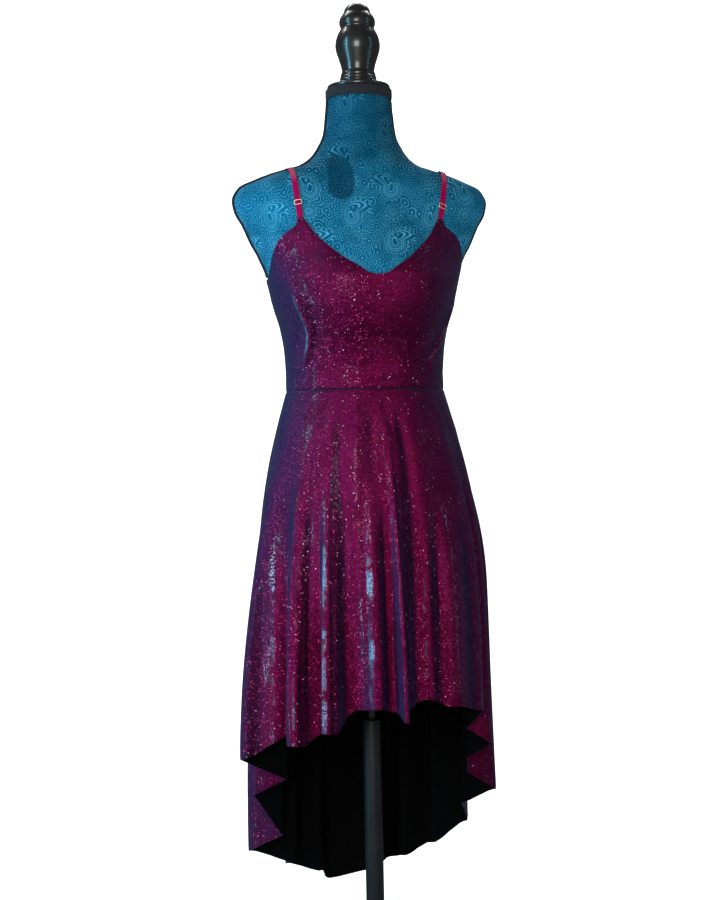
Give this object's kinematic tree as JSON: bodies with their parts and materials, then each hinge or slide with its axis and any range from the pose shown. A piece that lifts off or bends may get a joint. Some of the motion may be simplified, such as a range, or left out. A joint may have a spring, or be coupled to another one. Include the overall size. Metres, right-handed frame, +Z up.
{
  "type": "asymmetric dress on a limbless dress form",
  "caption": "High-low strap dress with a V-neck bodice and a softly folded skirt, worn by a limbless dress form with a finial, a pole and a round base.",
  "frame": {"origin": "middle of the base's flat underside, on the floor", "axes": "+Z up along the pole, -Y to the front of the dress, +X to the wearer's left"},
  "size_m": [0.4123, 0.3819, 1.6176],
  "materials": {
    "glitter_knit": "glitter-coated stretch knit with a blue sheen, black on its wrong side",
    "strap_elastic": "satin-faced elastic",
    "gold_metal": "polished light gold plating",
    "velvet": "embossed velvet with a paisley pattern",
    "black_wood": "satin black lacquer",
    "black_braid": "matte gimp braid",
    "grey_steel": "satin",
    "black_paint": "satin powder coat"
  },
  "bodies": {
    "root": {"bodice_front": "glitter_knit", "bodice_back": "glitter_knit", "skirt_front": "glitter_knit", "skirt_back": "glitter_knit", "strap_right": "strap_elastic", "strap_left": "strap_elastic", "slider_right": "gold_metal", "slider_left": "gold_metal", "form_torso": "velvet", "form_neck_braid": "black_braid", "form_neck_disc": "black_wood", "form_finial": "black_wood", "form_rod": "grey_steel", "form_pole": "black_paint", "form_base": "black_paint"}
  },
  "joints": []
}
